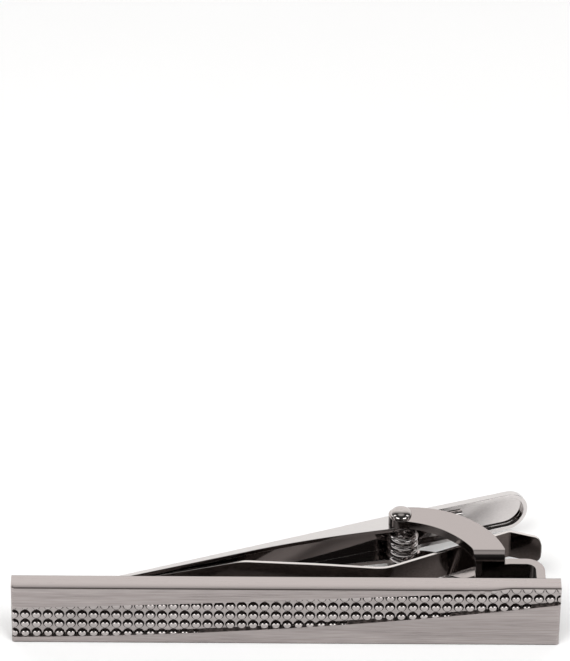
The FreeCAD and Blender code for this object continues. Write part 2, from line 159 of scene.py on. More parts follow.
# Bracket
BRACKET_SHEET = 0.85
BRACKET_FROM_END = 7.65
BRACKET_LEFT = BAR_HALF - BRACKET_FROM_END
BRACKET_EASE = 0.08
STRIP_HALF = 1.95
STRIP_FROM_BAR = 3.70
STRIP_FRONT = BAR_BACK + STRIP_FROM_BAR
STRIP_MIDDLE = STRIP_FRONT + BRACKET_SHEET / 2
STRIP_BACK = STRIP_FRONT + BRACKET_SHEET
LEG_FROM_END = 1.25
LEG_OUTER = BAR_HALF - LEG_FROM_END
FOOT_LENGTH = 5.2
FOOT_BEND = 0.85
TOP_BEND = 1.30
FOLD_RADIUS = 0.20
FOLD_BACK = STRIP_BACK + FOLD_RADIUS
ARM_OVERHANG = 0.33
ARM_LEFT = BRACKET_LEFT - ARM_OVERHANG
ARM_FOLD_WIDTH = 2.7
ARM_RIGHT = BRACKET_LEFT + ARM_FOLD_WIDTH
FLARE = 0.45
FLARE_RIGHT = ARM_RIGHT + FLARE
ARM_GAP = 0.05
ARM_INNER = LEVER_WIDTH / 2 + ARM_GAP
ARM_LOW = MID_Z + ARM_INNER
ARM_END_RADIUS = 1.18
ARM_FRONT_TURN = math.radians(-70)
ARM_BACK_TURN = math.radians(75)
ARM_FRONT_RISE = 0.86
ARM_BACK_RISE = 2.02
ARM_STEPS = 18
BEND_STEPS = 12

# Rivet
RIVET_RADIUS = 0.42
RIVET_HEAD_RADIUS = 1.02
RIVET_HEAD_HEIGHT = 0.60
RIVET_FULLNESS = 0.85
RIVET_TAIL_RADIUS = 0.80
RIVET_TAIL_HEIGHT = 0.20
RIVET_TAIL_CHAMFER = 0.12
RIVET_SIDES = 32
DOME_STEPS = 12

# Spring
WIRE = 0.55
WIRE_SIDES = 14
COIL_OUTER_RADIUS = 1.50
COIL_FROM_PIVOT = 0.05
COIL_TURNS = 3
COIL_STEPS = 84
SPRING_GAP = 0.03
LEVER_LEG = 6.5
LEVER_LEG_FALL = 0.30
LEG_FALL_SHARE = 0.45
LEG_STEPS = 4

# Finishes: noise scales per metre along each axis, and the faces that take painted light and shade
BRUSHED_FINE = (300, 9000, 9000)
BRUSHED_BROAD = (60, 1500, 1500)
POLISHED_FINE = (2500, 9000, 9000)
POLISHED_BROAD = (240, 260, 260)
NOISE_DETAIL = 3.0
NOISE_BAND = (0.3, 0.7)
STREAK_SHARE = 0.55
RELIEF = 0.01 * MM
LEVEL_FACING = (0.55, 0.85)
CROWN_SHARE = 0.65
EASED_SLOPE = (0.10, 0.35)
FORWARD_FACING = (-0.60, -0.85)
INSIDE_REACH = (1.6, -1.4)

# Studio, in metres apart from the camera's place
FLOOR_REACH = 3.0
FLOOR_GRAIN = 40
FLOOR_TONES = (0.965, 0.985)
FLOOR_ROUGHNESS = 0.9
SKY_TINT = (1, 0.985, 0.97, 1)
SKY_EDGE = (0.25, 0.75)
SKY_DIM = 0.05
SKY_BRIGHT = 1.15
GLOW_EDGE = (0.90, 0.98)
GLOW = 0.55
FILL_LAMP_PLACE = (0.25, -0.28, 0.58)
FILL_LAMP_SIZE = (0.40, 0.40)
FILL_LAMP_POWER = 2.1
SIDE_LAMP_PLACE = (0.55, -0.05, 0.38)
SIDE_LAMP_SIZE = (0.15, 0.40)
SIDE_LAMP_POWER = 0.38
LOW_LAMP_PLACE = (0.39, -0.52, 0.13)
LOW_LAMP_SIZE = (0.40, 0.26)
LOW_LAMP_POWER = 1.0
CAMERA_PLACE = (-5.493, -331.804, 260.622)
CAMERA_TURN = math.radians(-0.866)
CAMERA_DOWN = math.radians(34.268)
CAMERA_ROLL = math.radians(0.866)
CAMERA_LENS = 246.4
CAMERA_SENSOR = 36
CAMERA_CLIP = (0.02, 20)


def verts_of(geometry):
    """Vertices in what an operator hands back."""
    return [item for item in geometry if isinstance(item, bmesh.types.BMVert)]


def edges_of(geometry):
    """Edges in what an operator hands back."""
    return [item for item in geometry if isinstance(item, bmesh.types.BMEdge)]


def faces_of(geometry):
    """Faces in what an operator hands back."""
    return [item for item in geometry if isinstance(item, bmesh.types.BMFace)]


def whole(bm):
    """All geometry of a mesh in progress."""
    return bm.verts[:] + bm.edges[:] + bm.faces[:]


def with_rim(faces):
    """Faces together with their edges and vertices."""
    edges = {edge for face in faces for edge in face.edges}
    verts = {vert for face in faces for vert in face.verts}
    return list(faces) + list(edges) + list(verts)


def section(bm, corners):
    """Flat face through a few corners."""
    return [bm.faces.new([bm.verts.new(corner) for corner in corners])]


def chain(bm, points):
    """Edges from point to point."""
    verts = [bm.verts.new(point) for point in points]
    for first, second in zip(verts, verts[1:]):
        bm.edges.new((first, second))


def bowed_edge(bm, start, end, rise, count):
    """Level arc of edges, bowed to the left of the way from start to end."""
    half = (end - start).length / 2
    radius = (half * half + rise * rise) / (2 * rise)
    left = UP.cross(end - start).normalized()
    centre = (start + end) / 2 + left * (rise - radius)
    swept = 2 * math.asin(half / radius)
    point = bm.verts.new(start)
    bmesh.ops.spin(bm, geom=[point], cent=centre, axis=UP, angle=-swept, steps=count, use_merge=False)


def turned(bm, centre, axis, count):
    """Spin a profile right round and close its seam and poles."""
    bmesh.ops.spin(bm, geom=whole(bm), cent=centre, axis=axis, angle=FULL_TURN, steps=count, use_merge=True)
    bmesh.ops.remove_doubles(bm, verts=bm.verts, dist=WELD)


def drop_walls(bm, faces):
    """Delete those faces that were left inside a shell."""
    inner = [face for face in faces if all(len(edge.link_faces) > 2 for edge in face.edges)]
    bmesh.ops.delete(bm, geom=inner, context="FACES_ONLY")


def push(bm, faces, step, count=1):
    """Extrude end faces by a step, count times, and hand back the new end faces."""
    for _ in range(count):
        made = bmesh.ops.extrude_face_region(bm, geom=with_rim(faces))["geom"]
        bmesh.ops.translate(bm, vec=step, verts=verts_of(made))
        drop_walls(bm, [face for face in faces if face.is_valid])
        faces = faces_of(made)
    return faces


def swing(bm, faces, centre, axis, angle, count, step=(0, 0, 0)):
    """Carry end faces round a bend, moving on by a step each time, and hand back the new end faces."""
    made = bmesh.ops.spin(bm, geom=with_rim(faces), cent=centre, axis=axis, angle=angle, steps=count,
                          dvec=step, use_merge=False)
    drop_walls(bm, bm.faces)
    return faces_of(made["geom_last"])


def make_piece(bm, name, body, material, ease=0.0, sharp=SHARP):
    """Turn a finished mesh in millimetres into a named piece that rides on a body."""
    bmesh.ops.remove_doubles(bm, verts=bm.verts, dist=WELD)
    bmesh.ops.recalc_face_normals(bm, faces=bm.faces)
    bmesh.ops.scale(bm, vec=Vector((MM, MM, MM)), verts=bm.verts)
    mesh = bpy.data.meshes.new(name)
    bm.to_mesh(mesh)
    bm.free()
    mesh.shade_smooth()
    mesh.set_sharp_from_angle(angle=math.radians(sharp))
    mesh.materials.append(material)
    piece = bpy.data.objects.new(name, mesh)
    bpy.context.scene.collection.objects.link(piece)
    if ease:
        eased = piece.modifiers.new("eased_edges", "BEVEL")
        eased.width = ease * MM
        eased.segments = EASE_STEPS
        eased.limit_method = "ANGLE"
        eased.angle_limit = math.radians(sharp)
        eased.harden_normals = True
    if body:
        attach(piece, body)
    return piece


def border(heights, x):
    """Height of a curved border of the field, from its heights at the left end, middle and right end."""
    left, middle, right = heights
    share = x / BAR_HALF
    return middle + share * (right - left) / 2 + share * share * ((right + left) / 2 - middle)


def end_setback(x):
    """How far the bar's rounded ends fall back at a place along it."""
    over = min(max(abs(x) - BAR_HALF + BAR_END_RADIUS, 0), BAR_END_RADIUS)
    return BAR_END_RADIUS - math.sqrt(BAR_END_RADIUS ** 2 - over ** 2)


def bar_column(index):
    """Place along the bar of a column of its front: even steps, and equal turns round each end."""
    straight = BAR_HALF - BAR_END_RADIUS
    inner = BAR_COLUMNS / 2 - END_COLUMNS
    offset = index - BAR_COLUMNS / 2
    if abs(offset) <= inner:
        return straight * offset / inner
    turn = QUARTER_TURN * (abs(offset) - inner) / END_COLUMNS
    return math.copysign(straight + BAR_END_RADIUS * math.sin(turn), offset)


def bar_rows(x):
    """Height and depth of each row of the bar's front at a place along it, from the lower edge up."""
    lower = border(FIELD_LOWER, x)
    upper = border(FIELD_UPPER, x)
    top = BAR_HEIGHT - BAR_EDGE_RADIUS
    crest = top - SUPPORT
    over = min(max((upper - top + FIELD_SLOPE) / FIELD_SLOPE, 0), 1) * FIELD_DEPTH
    return [(0, BAR_EDGE_RADIUS), (BAR_EDGE_MIDDLE, BAR_EDGE_MIDDLE), (BAR_EDGE_RADIUS, 0),
            (BAR_EDGE_RADIUS + SUPPORT, 0), (lower, 0), (lower + FIELD_SLOPE, FIELD_DEPTH),
            (min(upper - FIELD_SLOPE, crest - 2 * WELD), FIELD_DEPTH), (min(upper, crest - WELD), over),
            (crest, over), (top, over), (BAR_HEIGHT - BAR_EDGE_MIDDLE, over + BAR_EDGE_MIDDLE),
            (BAR_HEIGHT, over + BAR_EDGE_RADIUS)]


def front_bar(material, field_material):
    """Bar with rounded ends, eased edges and the sunk field across its front."""
    bm = bmesh.new()
    last_row = len(bar_rows(0)) - 1
    bmesh.ops.create_grid(bm, x_segments=BAR_COLUMNS, y_segments=last_row, size=1)
    for vert in bm.verts:
        x = bar_column(round((vert.co.x + 1) / 2 * BAR_COLUMNS))
        height, depth = bar_rows(x)[round((vert.co.y + 1) / 2 * last_row)]
        vert.co = Vector((x, BAR_FRONT + max(end_setback(x), depth), height))
    rim = [edge for edge in bm.edges if edge.is_boundary]
    side = FIELD_FLOOR + BAR_EDGE_RADIUS + BAR_END_RADIUS + SUPPORT
    back_edge = BAR_BACK - BAR_EDGE_RADIUS
    for y, inset in ((side, 0), (back_edge - SUPPORT, 0), (back_edge, 0),
                     (BAR_BACK - BAR_EDGE_MIDDLE, BAR_EDGE_MIDDLE), (BAR_BACK, BAR_EDGE_RADIUS),
                     (BAR_BACK, BAR_EDGE_RADIUS + SUPPORT)):
        made = bmesh.ops.extrude_edge_only(bm, edges=rim)["geom"]
        for vert in verts_of(made):
            x = min(max(vert.co.x, inset - BAR_HALF), BAR_HALF - inset)
            vert.co = Vector((x, y, min(max(vert.co.z, inset), BAR_HEIGHT - inset)))
        rim = [edge for edge in edges_of(made) if edge.is_boundary]
    bmesh.ops.edgeloop_fill(bm, edges=rim)
    for face in bm.faces:
        face.material_index = int(all(abs(vert.co.y - FIELD_FLOOR) < WELD for vert in face.verts))
    piece = make_piece(bm, "front_bar_brushed", "clip_frame", material)
    piece.data.materials.append(field_material)
    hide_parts("front_bar")


def stud(bm):
    """One dome about the origin, with the upper part of its steep rim marked for painted shade."""
    chain(bm, [(STUD_RADIUS * reach, FIELD_DEPTH * drop, 0) for reach, drop in STUD_PROFILE])
    turned(bm, (0, 0, 0), (0, 1, 0), STUD_SIDES)
    bmesh.ops.holes_fill(bm, edges=[edge for edge in bm.edges if edge.is_boundary], sides=0)
    bmesh.ops.recalc_face_normals(bm, faces=bm.faces)
    for face in bm.faces:
        reach = min(math.hypot(vert.co.x, vert.co.z) for vert in face.verts)
        in_rim = reach > STUD_RADIUS * STUD_SHADE_FROM - WELD
        # Upper and side faces of the rim take the painted shade material.
        face.material_index = int(in_rim and face.normal.z > STUD_SHADE_TILT)


def studs(material, rim_shade_material):
    """Small domes on a square grid, wherever the sunk field reaches, cut off at the bar's top and ends."""
    bm = bmesh.new()
    stud(bm)
    pattern = whole(bm)
    for row in range(STUD_ROWS):
        z = STUD_TOP_ROW - row * STUD_PITCH
        for column in range(int(2 * BAR_HALF / STUD_PITCH) + 1):
            x = STUD_FIRST_FROM_END - BAR_HALF + column * STUD_PITCH
            if border(FIELD_LOWER, x) - STUD_REACH < z < border(FIELD_UPPER, x) + STUD_REACH:
                made = bmesh.ops.duplicate(bm, geom=pattern)["geom"]
                bmesh.ops.translate(bm, vec=(x, BAR_FRONT, z), verts=verts_of(made))
    bmesh.ops.delete(bm, geom=verts_of(pattern), context="VERTS")
    inside = BAR_HALF - BAR_EDGE_RADIUS / 2
    for place, out in (((0, 0, BAR_HEIGHT - BAR_EDGE_RADIUS / 2), (0, 0, 1)),
                       ((inside, 0, 0), (1, 0, 0)), ((-inside, 0, 0), (-1, 0, 0))):
        cut = bmesh.ops.bisect_plane(bm, geom=whole(bm), plane_co=place, plane_no=out, clear_outer=True)
        bmesh.ops.holes_fill(bm, edges=edges_of(cut["geom_cut"]), sides=0)
    for vert in bm.verts:
        vert.co.y += end_setback(vert.co.x)
    piece = make_piece(bm, "front_bar_studs", "clip_frame", material, sharp=ROUND_SHARP)
    piece.data.materials.append(rim_shade_material)


def lever_point(along, back):
    """Plan point in the lever's own axes."""
    return PIVOT + Matrix.Rotation(LEVER_ANGLE, 3, "Z") @ Vector((along, back, 0))


def lever_depth(along):
    """Depth of the lever's flanges at a place along it."""
    if along < -FLANGE_WAIST_REACH:
        share = (along + LEVER_TIP_REACH) / (LEVER_TIP_REACH - FLANGE_WAIST_REACH)
        return FLANGE_TIP + (FLANGE_WAIST - FLANGE_TIP) * share
    if along < -EAR_HALF:
        share = (along + FLANGE_WAIST_REACH) / (FLANGE_WAIST_REACH - EAR_HALF)
        return FLANGE_WAIST + (FLANGE_EAR_START - FLANGE_WAIST) * share ** FLANGE_SWEEP
    if along < 0:
        return FLANGE_EAR - (FLANGE_EAR - FLANGE_EAR_START) * (along / EAR_HALF) ** 2
    if along < EAR_HALF:
        return FLANGE_EAR - (FLANGE_EAR - FLANGE_EAR_END) * (along / EAR_HALF) ** 2
    share = min((along - EAR_HALF) / EAR_FALL, 1)
    return FLANGE_RIM + (FLANGE_EAR_END - FLANGE_RIM) * (1 - share) ** 2


def lever_half_width(along):
    """Half width of the lever's back, tapered from the pivot to the tip."""
    share = min(max((along + LEVER_TIP_REACH) / LEVER_TIP_REACH, 0), 1)
    return (LEVER_TIP_WIDTH + (LEVER_WIDTH - LEVER_TIP_WIDTH) * share) / 2


def lever_web(bm):
    """Flat back of the lever: tapered, eased at the tip, round at the spoon, cut at even stations."""
    half = LEVER_WIDTH / 2
    tip_half = LEVER_TIP_WIDTH / 2
    corners = ((-LEVER_TIP_REACH, -tip_half), (-LEVER_TIP_REACH, tip_half), (0, half),
               (LEVER_SPOON_REACH, half), (LEVER_SPOON_REACH, -half), (0, -half))
    section(bm, [(along, LEVER_BACK, MID_Z + height) for along, height in corners])
    for end, radius, count in ((LEVER_SPOON_REACH, half, SPOON_STEPS),
                               (-LEVER_TIP_REACH, LEVER_TIP_CORNER, TIP_CORNER_STEPS)):
        square = [vert for vert in bm.verts if abs(vert.co.x - end) < WELD]
        bmesh.ops.bevel(bm, geom=square, offset=radius, offset_type="ABSOLUTE", affect="VERTICES",
                        segments=count, profile=0.5, material=-1)
    bmesh.ops.remove_doubles(bm, verts=bm.verts, dist=WELD)
    first = math.ceil((LEVER_TIP_CORNER - LEVER_TIP_REACH) / LEVER_STATION)
    last = math.floor((LEVER_SPOON_REACH - half) / LEVER_STATION)
    for station in range(first, last + 1):
        bmesh.ops.bisect_plane(bm, geom=whole(bm), dist=WELD, plane_co=(station * LEVER_STATION, 0, 0),
                               plane_no=(1, 0, 0))


def lever_lip(bm, side):
    """Lip folded from a flange over the leaf's front at the tip."""
    start = LIP_FROM_TIP - LEVER_TIP_REACH
    end = start + LIP_LENGTH
    front = WEB_INNER - LEAF_SHEET - LIP_GAP
    outer = MID_Z + side * lever_half_width(start)
    inner = outer - side * LIP_SHEET
    faces = section(bm, [(start, WEB_INNER, outer), (end, WEB_INNER, outer),
                         (end, WEB_INNER, inner), (start, WEB_INNER, inner)])
    faces = push(bm, faces, Vector((0, front - WEB_INNER, 0)))
    faces = swing(bm, faces, (start, front, inner), (side, 0, 0), QUARTER_TURN, LIP_STEPS)
    push(bm, faces, Vector((0, 0, -side * LIP_OVERLAP)))


def lever(material):
    """Pressed channel: a tapered back, two flanges that deepen to the pivot ears, and a rounded spoon."""
    bm = bmesh.new()
    lever_web(bm)
    rim = [edge for edge in bm.edges if edge.is_boundary]
    for vert in verts_of(bmesh.ops.extrude_edge_only(bm, edges=rim)["geom"]):
        vert.co.y = LEVER_BACK - lever_depth(vert.co.x)
    bmesh.ops.recalc_face_normals(bm, faces=bm.faces)
    back = max(bm.faces, key=lambda face: face.calc_center_median().y)
    if back.normal.y < 0:
        bmesh.ops.reverse_faces(bm, faces=bm.faces)
    bmesh.ops.solidify(bm, geom=bm.faces[:], thickness=LEVER_SHEET)
    bends = [edge for edge in bm.edges if all(abs(vert.co.y - LEVER_BACK) < WELD for vert in edge.verts)
             and abs(edge.calc_face_angle()) > QUARTER_TURN / 2]
    bmesh.ops.bevel(bm, geom=bends, offset=LEVER_BEND, affect="EDGES", segments=LEVER_BEND_STEPS, profile=0.5,
                    material=-1)
    for side in (1, -1):
        lever_lip(bm, side)
    bmesh.ops.rotate(bm, verts=bm.verts, cent=(0, 0, 0), matrix=Matrix.Rotation(LEVER_ANGLE, 3, "Z"))
    bmesh.ops.translate(bm, vec=PIVOT, verts=bm.verts)
    piece = make_piece(bm, "lever_channel", "lever_arm", material, LEVER_EASE, SHEET_SHARP)
    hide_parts("lever")


def leaf_half_width(x, start_x, end_x):
    """Half width of the leaf at a place along the bar: tapered to the tip and rounded at its free end."""
    full_x = PIVOT.x - LEAF_TAPER_FROM_PIVOT
    share = min(max((x - start_x) / (full_x - start_x), 0), 1)
    half = (LEAF_TIP_WIDTH + (LEAF_WIDTH - LEAF_TIP_WIDTH) * share) / 2
    into_end = min(max((x - end_x + LEAF_END_ROUNDING) / LEAF_END_ROUNDING, 0), 1)
    return half * math.sqrt(max(1 - into_end ** 2, LEAF_END_LEAST))


def grip_leaf(material):
    """Strip bent four times between the lever's tip and its free tab."""
    bm = bmesh.new()
    seat = WEB_INNER - LEAF_SHEET / 2
    tip = LEAF_FROM_TIP - LEVER_TIP_REACH
    bends = ((tip, seat), (tip + LEAF_SEAT_LENGTH, seat), LEAF_SHOULDER, LEAF_BELLY, LEAF_KINK, LEAF_END)
    route = [lever_point(along, back) for along, back in bends]
    here = route[0]
    way = (route[1] - here).normalized()
    across = UP.cross(way) * (LEAF_SHEET / 2)
    low = UP * (MID_Z - LEAF_WIDTH / 2)
    high = UP * (MID_Z + LEAF_WIDTH / 2)
    faces = section(bm, [here + across + low, here - across + low,
                         here - across + high, here + across + high])
    for bend, after, radius in zip(route[1:], route[2:], LEAF_RADII):
        leave = (after - bend).normalized()
        angle = way.angle(leave)
        side = math.copysign(1, way.cross(leave).z)
        reach = radius * math.tan(angle / 2)
        touch = bend - way * reach
        faces = push(bm, faces, (touch - here) / LEAF_STEPS, LEAF_STEPS)
        faces = swing(bm, faces, touch + UP.cross(way) * (side * radius), UP * side, angle, LEAF_STEPS)
        here = bend + leave * reach
        way = leave
    push(bm, faces, (route[-1] - here) / LEAF_TAB_STEPS, LEAF_TAB_STEPS)
    end_x = max(vert.co.x for vert in bm.verts)
    for vert in bm.verts:
        half = leaf_half_width(vert.co.x, route[0].x, end_x)
        vert.co.z = MID_Z + math.copysign(half, vert.co.z - MID_Z)
    piece = make_piece(bm, "grip_leaf_strip", "lever_arm", material, LEAF_EASE, SHEET_SHARP)
    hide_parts("grip_leaf")


def arm_end(turn):
    """Point on an arm's round end, about the pivot."""
    return PIVOT + Vector((ARM_END_RADIUS * math.cos(turn), ARM_END_RADIUS * math.sin(turn), ARM_LOW))


def arm_plate(bm):
    """Level arm above the lever: two bowed sides and a round end, up to the fold."""
    fold_left = Vector((ARM_LEFT, FOLD_BACK, ARM_LOW))
    fold_right = Vector((ARM_RIGHT, FOLD_BACK, ARM_LOW))
    bowed_edge(bm, arm_end(ARM_FRONT_TURN), fold_left, ARM_FRONT_RISE, ARM_STEPS)
    bowed_edge(bm, arm_end(ARM_BACK_TURN), fold_right, ARM_BACK_RISE, ARM_STEPS)
    bmesh.ops.spin(bm, geom=[bm.verts.new(arm_end(ARM_BACK_TURN))], cent=PIVOT, axis=UP,
                   angle=FULL_TURN + ARM_FRONT_TURN - ARM_BACK_TURN, steps=ARM_STEPS, use_merge=False)
    chain(bm, (fold_left, fold_right))
    bmesh.ops.remove_doubles(bm, verts=bm.verts, dist=WELD)
    plate = bmesh.ops.edgeloop_fill(bm, edges=bm.edges[:])["faces"]
    push(bm, plate, UP * BRACKET_SHEET)


def arm_fold(bm):
    """Fold from the arm's front edge to the strip, drawn in at its left side, and half the strip."""
    fold = [face for face in bm.faces if all(abs(vert.co.y - FOLD_BACK) < WELD for vert in face.verts)]
    fold = swing(bm, fold, (0, FOLD_BACK, ARM_LOW - FOLD_RADIUS), (1, 0, 0), QUARTER_TURN, BEND_STEPS)
    for vert in bm.verts:
        if vert.co.y < FOLD_BACK - WELD and vert.co.x < BRACKET_LEFT:
            share = math.asin(min((FOLD_BACK - vert.co.y) / (FOLD_BACK - STRIP_FRONT), 1)) / QUARTER_TURN
            vert.co.x = ARM_LEFT + (BRACKET_LEFT - ARM_LEFT) * share
    for vert in {vert for face in fold for vert in face.verts}:
        vert.co.x = max(vert.co.x, BRACKET_LEFT)
    push(bm, fold, Vector((0, 0, MID_Z - ARM_LOW + FOLD_RADIUS)))


def hairpin(bm):
    """Run of the strip from the arms to the bar: flare, strip, bend, leg, bend and foot."""
    leg_middle = LEG_OUTER - BRACKET_SHEET / 2
    foot_middle = BAR_BACK + BRACKET_SHEET / 2
    below_fold = ARM_LOW - FOLD_RADIUS + WELD
    strip = [face for face in bm.faces
             if all(abs(vert.co.x - ARM_RIGHT) < WELD and vert.co.z < below_fold for vert in face.verts)]
    strip = push(bm, strip, Vector((FLARE_RIGHT - ARM_RIGHT, 0, 0)))
    for vert in {vert for face in strip for vert in face.verts}:
        if vert.co.z > MID_Z + WELD:
            vert.co.z = MID_Z + STRIP_HALF
    strip = push(bm, strip, Vector((leg_middle - TOP_BEND - FLARE_RIGHT, 0, 0)))
    top_centre = (leg_middle - TOP_BEND, STRIP_MIDDLE - TOP_BEND, 0)
    strip = swing(bm, strip, top_centre, UP, -QUARTER_TURN, BEND_STEPS)
    strip = push(bm, strip, Vector((0, foot_middle + FOOT_BEND - STRIP_MIDDLE + TOP_BEND, 0)))
    foot_centre = (leg_middle - FOOT_BEND, foot_middle + FOOT_BEND, 0)
    strip = swing(bm, strip, foot_centre, UP, -QUARTER_TURN, BEND_STEPS)
    push(bm, strip, Vector((FOOT_BEND - FOOT_LENGTH, 0, 0)))


def bracket(material):
    """Foot, hairpin and strip bent from one sheet, with two arms folded from the strip's edges."""
    bm = bmesh.new()
    arm_plate(bm)
    arm_fold(bm)
    hairpin(bm)
    middle = [face for face in bm.faces if all(abs(vert.co.z - MID_Z) < WELD for vert in face.verts)]
    bmesh.ops.delete(bm, geom=middle, context="FACES_ONLY")
    below = Matrix.Translation((0, 0, -MID_Z))
    bmesh.ops.mirror(bm, geom=whole(bm), matrix=below, axis="Z", merge_dist=WELD)
    piece = make_piece(bm, "bracket_fork", "clip_frame", material, BRACKET_EASE, SHEET_SHARP)
    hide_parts("bracket")


def hinge_rivet(material):
    """Turned pin with a domed head and a flat tail."""
    bm = bmesh.new()
    foot = MID_Z - ARM_INNER - BRACKET_SHEET
    top = MID_Z + ARM_INNER + BRACKET_SHEET
    end = foot - RIVET_TAIL_HEIGHT
    profile = [(0, end), (RIVET_TAIL_RADIUS - RIVET_TAIL_CHAMFER, end),
               (RIVET_TAIL_RADIUS, end + RIVET_TAIL_CHAMFER), (RIVET_TAIL_RADIUS, foot),
               (RIVET_RADIUS, foot), (RIVET_RADIUS, top)]
    for step in range(DOME_STEPS, -1, -1):
        turn = QUARTER_TURN * step / DOME_STEPS
        reach = math.sin(turn) ** RIVET_FULLNESS
        rise = math.cos(turn) ** RIVET_FULLNESS
        profile.append((RIVET_HEAD_RADIUS * reach, top + RIVET_HEAD_HEIGHT * rise))
    chain(bm, [PIVOT + Vector((radius, 0, height)) for radius, height in profile])
    turned(bm, PIVOT, UP, RIVET_SIDES)
    piece = make_piece(bm, "hinge_rivet_turned", "clip_frame", material)
    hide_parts("hinge_rivet")


def torsion_spring(material):
    """Round wire: leg along the lever's back, turns round the rivet, leg to the bracket's strip."""
    bm = bmesh.new()
    coil_radius = COIL_OUTER_RADIUS - WIRE / 2
    clear = SPRING_GAP + WIRE / 2
    centre = lever_point(COIL_FROM_PIVOT, WEB_INNER - clear - coil_radius)
    coil_top = MID_Z + LEVER_WIDTH / 2 - LEVER_SHEET - clear
    coil_low = MID_Z - LEVER_WIDTH / 2 + LEVER_SHEET + clear
    leg_z = MID_Z - (ARM_INNER + LEAF_WIDTH / 2) / 2
    rest = Vector(((BRACKET_LEFT + ARM_RIGHT) / 2, STRIP_BACK + clear, 0))
    aim = math.atan2(rest.y - centre.y, rest.x - centre.x)
    leave = aim - math.acos(coil_radius / (rest - centre).length)
    first = QUARTER_TURN + LEVER_ANGLE
    swept = leave - first + FULL_TURN * (COIL_TURNS + 1)
    out = Vector((math.cos(first), math.sin(first), 0))
    leg = UP.cross(out) * LEVER_LEG + UP * LEVER_LEG_FALL
    start = centre + out * coil_radius + UP * coil_top - leg
    turn = Matrix((out, UP, out.cross(UP))).transposed().to_4x4()
    bmesh.ops.create_circle(bm, cap_ends=True, segments=WIRE_SIDES, radius=WIRE / 2,
                            matrix=Matrix.Translation(start) @ turn)
    faces = push(bm, bm.faces[:], leg / LEG_STEPS, LEG_STEPS)
    faces = swing(bm, faces, centre, UP, swept, COIL_STEPS, UP * ((coil_low - coil_top) / COIL_STEPS))
    run = rest - centre - Vector((math.cos(leave), math.sin(leave), 0)) * coil_radius
    fall = UP * (leg_z - coil_low)
    faces = push(bm, faces, (run * LEG_FALL_SHARE + fall) / LEG_STEPS, LEG_STEPS)
    push(bm, faces, run * (1 - LEG_FALL_SHARE) / LEG_STEPS, LEG_STEPS)
    piece = make_piece(bm, "torsion_spring_wire", None, material, sharp=ROUND_SHARP)
    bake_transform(piece)
    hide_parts("torsion_spring")


def node_tree(name, inputs, outputs):
    """Empty node group with its sockets, and its input and output nodes."""
    tree = bpy.data.node_groups.new(name, "ShaderNodeTree")
    for label, kind in inputs:
        tree.interface.new_socket(label, in_out="INPUT", socket_type=kind)
    for label, kind in outputs:
        tree.interface.new_socket(label, in_out="OUTPUT", socket_type=kind)
    return tree, tree.nodes.new("NodeGroupInput"), tree.nodes.new("NodeGroupOutput")


def streaked_noise(tree, scale):
    """Noise with its own scale along each axis, in the clip's own coordinates."""
    place = tree.nodes.new("ShaderNodeTexCoord")
    mapping = tree.nodes.new("ShaderNodeMapping")
    mapping.inputs["Scale"].default_value = scale
    noise = tree.nodes.new("ShaderNodeTexNoise")
    noise.inputs["Scale"].default_value = 1.0
    noise.inputs["Detail"].default_value = NOISE_DETAIL
    tree.links.new(place.outputs["Object"], mapping.inputs["Vector"])
    tree.links.new(mapping.outputs["Vector"], noise.inputs["Vector"])
    return noise.outputs["Fac"]


def spread(tree, value, low=None, high=None):
    """A noise value carried from its middle band to 0 and 1, or to two other values."""
    span = tree.nodes.new("ShaderNodeMapRange")
    span.inputs["From Min"].default_value, span.inputs["From Max"].default_value = NOISE_BAND
    tree.links.new(value, span.inputs["Value"])
    if low:
        tree.links.new(low, span.inputs["To Min"])
        tree.links.new(high, span.inputs["To Max"])
    return span.outputs["Result"]


def stepped(tree, value, band, bottom=0.0, top=1.0):
    """Smooth step of a value across a band, from a bottom value to a top one."""
    span = tree.nodes.new("ShaderNodeMapRange")
    span.interpolation_type = "SMOOTHSTEP"
    span.inputs["From Min"].default_value, span.inputs["From Max"].default_value = band
    span.inputs["To Min"].default_value = bottom
    span.inputs["To Max"].default_value = top
    tree.links.new(value, span.inputs["Value"])
    return span.outputs["Result"]


def calculated(tree, operation, first, second=None):
    """Result of a calculation on one or two values."""
    step = tree.nodes.new("ShaderNodeMath")
    step.operation = operation
    tree.links.new(first, step.inputs[0])
    if second:
        tree.links.new(second, step.inputs[1])
    return step.outputs["Value"]


def metal_group(name, fine, broad):
    """Group for a worked metal: fine streaks and a broad cloud vary its colour, roughness and height."""
    tree, source, target = node_tree(
        name,
        [("Dark", "NodeSocketColor"), ("Light", "NodeSocketColor"), ("Smooth", "NodeSocketFloat"),
         ("Rough", "NodeSocketFloat")],
        [("Colour", "NodeSocketColor"), ("Roughness", "NodeSocketFloat"), ("Height", "NodeSocketFloat")])
    streaks = streaked_noise(tree, fine)
    worked = tree.nodes.new("ShaderNodeMix")
    worked.inputs["Factor"].default_value = STREAK_SHARE
    tree.links.new(streaked_noise(tree, broad), worked.inputs["A"])
    tree.links.new(streaks, worked.inputs["B"])
    value = worked.outputs["Result"]
    colour = tree.nodes.new("ShaderNodeMix")
    colour.data_type = "RGBA"
    tree.links.new(spread(tree, value), colour.inputs["Factor"])
    tree.links.new(source.outputs["Dark"], colour.inputs["A"])
    tree.links.new(source.outputs["Light"], colour.inputs["B"])
    tree.links.new(colour.outputs["Result"], target.inputs["Colour"])
    rough = spread(tree, value, source.outputs["Smooth"], source.outputs["Rough"])
    tree.links.new(rough, target.inputs["Roughness"])
    tree.links.new(streaks, target.inputs["Height"])
    return tree


